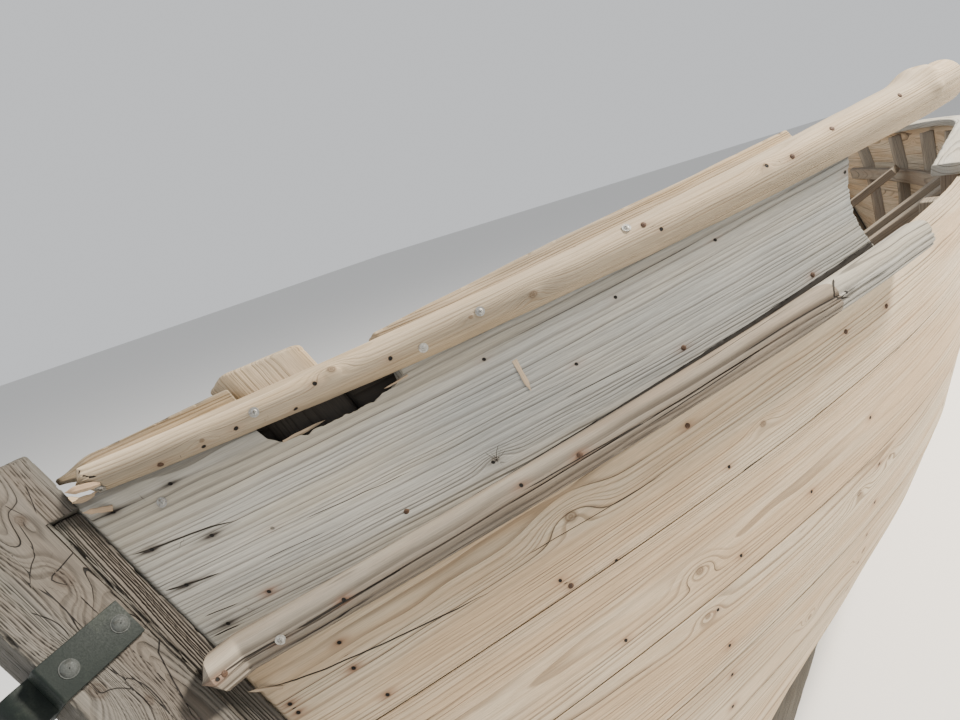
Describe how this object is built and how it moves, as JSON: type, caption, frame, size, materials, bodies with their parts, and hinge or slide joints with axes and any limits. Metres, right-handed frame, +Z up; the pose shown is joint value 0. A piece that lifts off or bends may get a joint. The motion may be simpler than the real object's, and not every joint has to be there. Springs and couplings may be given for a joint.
{
  "type": "planked sailing dhow with mast and yard laid down",
  "caption": "Weathered double-ended dhow, open and edge-planked, with pole rails on a raised after wash strake and rudder gudgeons, ashore on its bilge with mast and yard laid on the thwarts.",
  "frame": {"origin": "centre of the whole boat's box, at ground level", "axes": "+X forward along the keel, +Y to port, +Z up from the ground; the boat is heeled to port about X"},
  "size_m": [6.0294, 1.9844, 1.3848],
  "materials": {
    "planking": "sun-bleached, open grain",
    "wash": "silver grey, ridged grain",
    "pole": "peeled round pole, worn smooth",
    "backbone": "dark, deeply checked",
    "inside": "dry and dull",
    "spar": "oiled, weathered",
    "iron": "blackened, worn"
  },
  "bodies": {
    "root": {"garboard_port": "planking", "bottom_strake_port": "planking", "lower_bilge_strake_port": "planking", "upper_bilge_strake_port": "planking", "lower_side_strake_port": "planking", "upper_side_strake_port": "planking", "sheer_strake_port": "planking", "wash_strake_port": "wash", "lower_pole_port": "wash", "gunwale_cap_port": "wash", "top_pole_port": "pole", "inner_rail_aft_port": "pole", "inner_rail_fore_port": "pole", "timberhead_port": "inside", "beam_shelf_port": "inside", "garboard_starboard": "planking", "bottom_strake_starboard": "planking", "lower_bilge_strake_starboard": "planking", "upper_bilge_strake_starboard": "planking", "lower_side_strake_starboard": "planking", "upper_side_strake_starboard": "planking", "sheer_strake_starboard": "planking", "wash_strake_starboard": "wash", "lower_pole_starboard": "wash", "gunwale_cap_starboard": "wash", "top_pole_starboard": "pole", "inner_rail_aft_starboard": "pole", "inner_rail_fore_starboard": "pole", "timberhead_starboard": "inside", "beam_shelf_starboard": "inside", "frame_1": "inside", "frame_2": "inside", "frame_3": "inside", "frame_4": "inside", "frame_5": "inside", "frame_6": "inside", "frame_7": "inside", "frame_8": "inside", "frame_9": "inside", "frame_10": "inside", "keel": "backbone", "sternpost": "backbone", "sternpost_rebate_strip": "backbone", "stem": "backbone", "stem_rebate_strip": "backbone", "hog": "inside", "stern_apron": "inside", "bow_apron": "inside", "stern_thwart": "inside", "after_thwart": "inside", "mast_thwart_aft": "inside", "mast_thwart_fore": "inside", "fore_thwart": "inside", "mast_step": "inside", "mast": "spar", "yard": "spar", "upper_gudgeon": "iron", "lower_gudgeon": "iron"}
  },
  "joints": []
}
